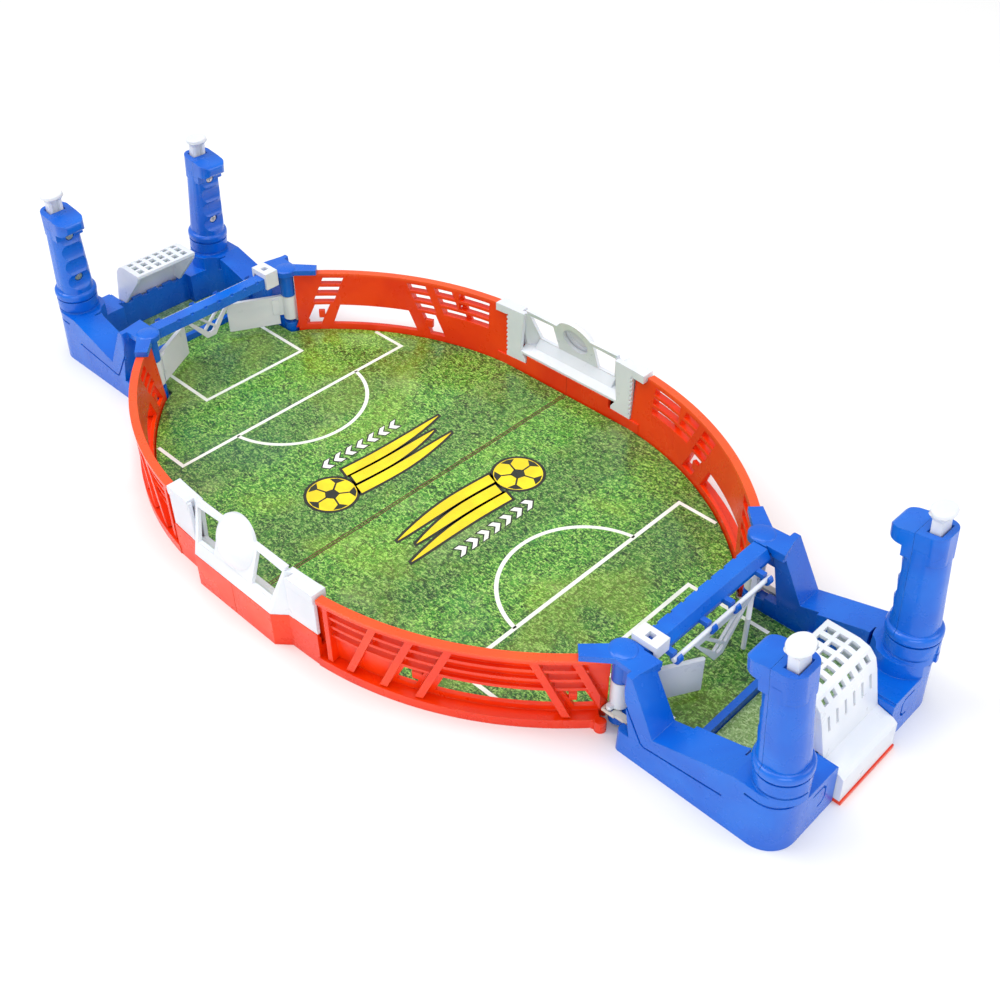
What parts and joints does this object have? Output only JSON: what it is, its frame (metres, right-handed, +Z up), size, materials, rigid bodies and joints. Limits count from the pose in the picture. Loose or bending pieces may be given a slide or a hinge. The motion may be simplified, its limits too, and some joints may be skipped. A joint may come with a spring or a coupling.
{
  "type": "tabletop football game",
  "caption": "Oval walled miniature football pitch with a goal unit at each end, upright thumb-button grips and linked flippers.",
  "frame": {"origin": "on the table under the centre spot of the pitch", "axes": "+X along the pitch towards the home goal, +Y across the pitch, +Z up"},
  "size_m": [0.5676, 0.266, 0.1134],
  "materials": {
    "blue_plastic": "smooth injection moulded",
    "red_plastic": "smooth injection moulded",
    "white_plastic": "smooth injection moulded",
    "pitch_print": "printed sheet with pitch markings",
    "pit_print": "printed sheet",
    "steel": "zinc plated",
    "acetal": "plain low friction plastic"
  },
  "bodies": {
    "game": {"home_end_base": "blue_plastic", "home_bottom_cover": "red_plastic", "home_crossbar": "blue_plastic", "home_goal_net": "white_plastic", "home_pit_mat": "pit_print", "home_pitch_board": "pitch_print", "home_right_side_wall": "red_plastic", "home_right_grip_front": "blue_plastic", "home_right_grip_back": "blue_plastic", "home_right_button_spring": "steel", "home_right_flipper_pin": "steel", "home_left_side_wall": "red_plastic", "home_left_grip_front": "blue_plastic", "home_left_grip_back": "blue_plastic", "home_left_button_spring": "steel", "home_left_flipper_pin": "steel", "away_end_base": "blue_plastic", "away_bottom_cover": "red_plastic", "away_crossbar": "blue_plastic", "away_goal_net": "white_plastic", "away_pit_mat": "pit_print", "away_pitch_board": "pitch_print", "away_right_side_wall": "red_plastic", "away_right_grip_front": "blue_plastic", "away_right_grip_back": "blue_plastic", "away_right_button_spring": "steel", "away_right_flipper_pin": "steel", "away_left_side_wall": "red_plastic", "away_left_grip_front": "blue_plastic", "away_left_grip_back": "blue_plastic", "away_left_button_spring": "steel", "away_left_flipper_pin": "steel", "near_throw_in_bay": "white_plastic", "far_throw_in_bay": "white_plastic", "crank_pins": "steel", "grip_screws": "steel", "cover_screws": "steel"},
    "home_gate": {"home_swing_gate": "white_plastic"},
    "home_score": {"home_score_slider": "white_plastic"},
    "home_right_push": {"home_right_thumb_button": "white_plastic"},
    "home_right_crank": {"home_right_bell_crank": "acetal"},
    "home_right_link": {"home_right_link": "acetal"},
    "home_right_flipper": {"home_right_flipper": "white_plastic"},
    "home_left_push": {"home_left_thumb_button": "white_plastic"},
    "home_left_crank": {"home_left_bell_crank": "acetal"},
    "home_left_link": {"home_left_link": "acetal"},
    "home_left_flipper": {"home_left_flipper": "white_plastic"},
    "away_gate": {"away_swing_gate": "white_plastic"},
    "away_score": {"away_score_slider": "white_plastic"},
    "away_right_push": {"away_right_thumb_button": "white_plastic"},
    "away_right_crank": {"away_right_bell_crank": "acetal"},
    "away_right_link": {"away_right_link": "acetal"},
    "away_right_flipper": {"away_right_flipper": "white_plastic"},
    "away_left_push": {"away_left_thumb_button": "white_plastic"},
    "away_left_crank": {"away_left_bell_crank": "acetal"},
    "away_left_link": {"away_left_link": "acetal"},
    "away_left_flipper": {"away_left_flipper": "white_plastic"}
  },
  "joints": [
    {"name": "home_right_push", "type": "slide", "parent": "game", "child": "home_right_push", "axis": [0.0889, -0.0226, -0.9958], "range_m": [0, 0.006], "stiffness_N_per_m": 250, "springref_m": -0.004, "deforming": ["home_right_button_spring"]},
    {"name": "home_right_crank_turn", "type": "hinge", "parent": "game", "child": "home_right_crank", "pos_m": [0.2659, 0.0556, 0.0052], "axis": [0, 1, 0], "range_deg": [-0.05, 45.05]},
    {"name": "home_right_link_slide", "type": "slide", "parent": "game", "child": "home_right_link", "axis": [1, 0, 0], "range_m": [-0.00001, 0.00537]},
    {"name": "home_right_flipper_turn", "type": "hinge", "parent": "game", "child": "home_right_flipper", "pos_m": [0.184, 0.0525, 0.02], "axis": [0, 0, -1], "range_deg": [-0.05, 60.07]},
    {"name": "home_left_push", "type": "slide", "parent": "game", "child": "home_left_push", "axis": [0.0889, 0.0226, -0.9958], "range_m": [0, 0.006], "stiffness_N_per_m": 250, "springref_m": -0.004, "deforming": ["home_left_button_spring"]},
    {"name": "home_left_crank_turn", "type": "hinge", "parent": "game", "child": "home_left_crank", "pos_m": [0.2659, -0.0556, 0.0052], "axis": [0, 1, 0], "range_deg": [-0.05, 45.05]},
    {"name": "home_left_link_slide", "type": "slide", "parent": "game", "child": "home_left_link", "axis": [1, 0, 0], "range_m": [-0.00001, 0.00537]},
    {"name": "home_left_flipper_turn", "type": "hinge", "parent": "game", "child": "home_left_flipper", "pos_m": [0.184, -0.0525, 0.02], "axis": [0, 0, 1], "range_deg": [-0.05, 60.07]},
    {"name": "home_score_slide", "type": "slide", "parent": "game", "child": "home_score", "axis": [0, 1, 0], "range_m": [0, 0.08]},
    {"name": "home_gate_swing", "type": "hinge", "parent": "game", "child": "home_gate", "pos_m": [0.2002, 0, 0.041], "axis": [0, -1, 0], "range_deg": [-8, 60]},
    {"name": "away_right_push", "type": "slide", "parent": "game", "child": "away_right_push", "axis": [-0.0889, 0.0226, -0.9958], "range_m": [0, 0.006], "stiffness_N_per_m": 250, "springref_m": -0.004, "deforming": ["away_right_button_spring"]},
    {"name": "away_right_crank_turn", "type": "hinge", "parent": "game", "child": "away_right_crank", "pos_m": [-0.2659, -0.0556, 0.0052], "axis": [0, -1, 0], "range_deg": [-0.05, 45.05]},
    {"name": "away_right_link_slide", "type": "slide", "parent": "game", "child": "away_right_link", "axis": [-1, 0, 0], "range_m": [-0.00001, 0.00537]},
    {"name": "away_right_flipper_turn", "type": "hinge", "parent": "game", "child": "away_right_flipper", "pos_m": [-0.184, -0.0525, 0.02], "axis": [0, 0, -1], "range_deg": [-0.05, 60.07]},
    {"name": "away_left_push", "type": "slide", "parent": "game", "child": "away_left_push", "axis": [-0.0889, -0.0226, -0.9958], "range_m": [0, 0.006], "stiffness_N_per_m": 250, "springref_m": -0.004, "deforming": ["away_left_button_spring"]},
    {"name": "away_left_crank_turn", "type": "hinge", "parent": "game", "child": "away_left_crank", "pos_m": [-0.2659, 0.0556, 0.0052], "axis": [0, -1, 0], "range_deg": [-0.05, 45.05]},
    {"name": "away_left_link_slide", "type": "slide", "parent": "game", "child": "away_left_link", "axis": [-1, 0, 0], "range_m": [-0.00001, 0.00537]},
    {"name": "away_left_flipper_turn", "type": "hinge", "parent": "game", "child": "away_left_flipper", "pos_m": [-0.184, 0.0525, 0.02], "axis": [0, 0, 1], "range_deg": [-0.05, 60.07]},
    {"name": "away_score_slide", "type": "slide", "parent": "game", "child": "away_score", "axis": [0, -1, 0], "range_m": [0, 0.08]},
    {"name": "away_gate_swing", "type": "hinge", "parent": "game", "child": "away_gate", "pos_m": [-0.2002, 0, 0.041], "axis": [0, 1, 0], "range_deg": [-8, 60]}
  ],
  "couplings": [
    {"joint": "home_right_crank_turn", "follows": "home_right_push", "rad_per_m": 130.9},
    {"joint": "home_right_link_slide", "follows": "home_right_push", "ratio": 0.89293},
    {"joint": "home_right_flipper_turn", "follows": "home_right_push", "rad_per_m": 174.59},
    {"joint": "home_left_crank_turn", "follows": "home_left_push", "rad_per_m": 130.9},
    {"joint": "home_left_link_slide", "follows": "home_left_push", "ratio": 0.89293},
    {"joint": "home_left_flipper_turn", "follows": "home_left_push", "rad_per_m": 174.59},
    {"joint": "away_right_crank_turn", "follows": "away_right_push", "rad_per_m": 130.9},
    {"joint": "away_right_link_slide", "follows": "away_right_push", "ratio": 0.89293},
    {"joint": "away_right_flipper_turn", "follows": "away_right_push", "rad_per_m": 174.59},
    {"joint": "away_left_crank_turn", "follows": "away_left_push", "rad_per_m": 130.9},
    {"joint": "away_left_link_slide", "follows": "away_left_push", "ratio": 0.89293},
    {"joint": "away_left_flipper_turn", "follows": "away_left_push", "rad_per_m": 174.59}
  ]
}
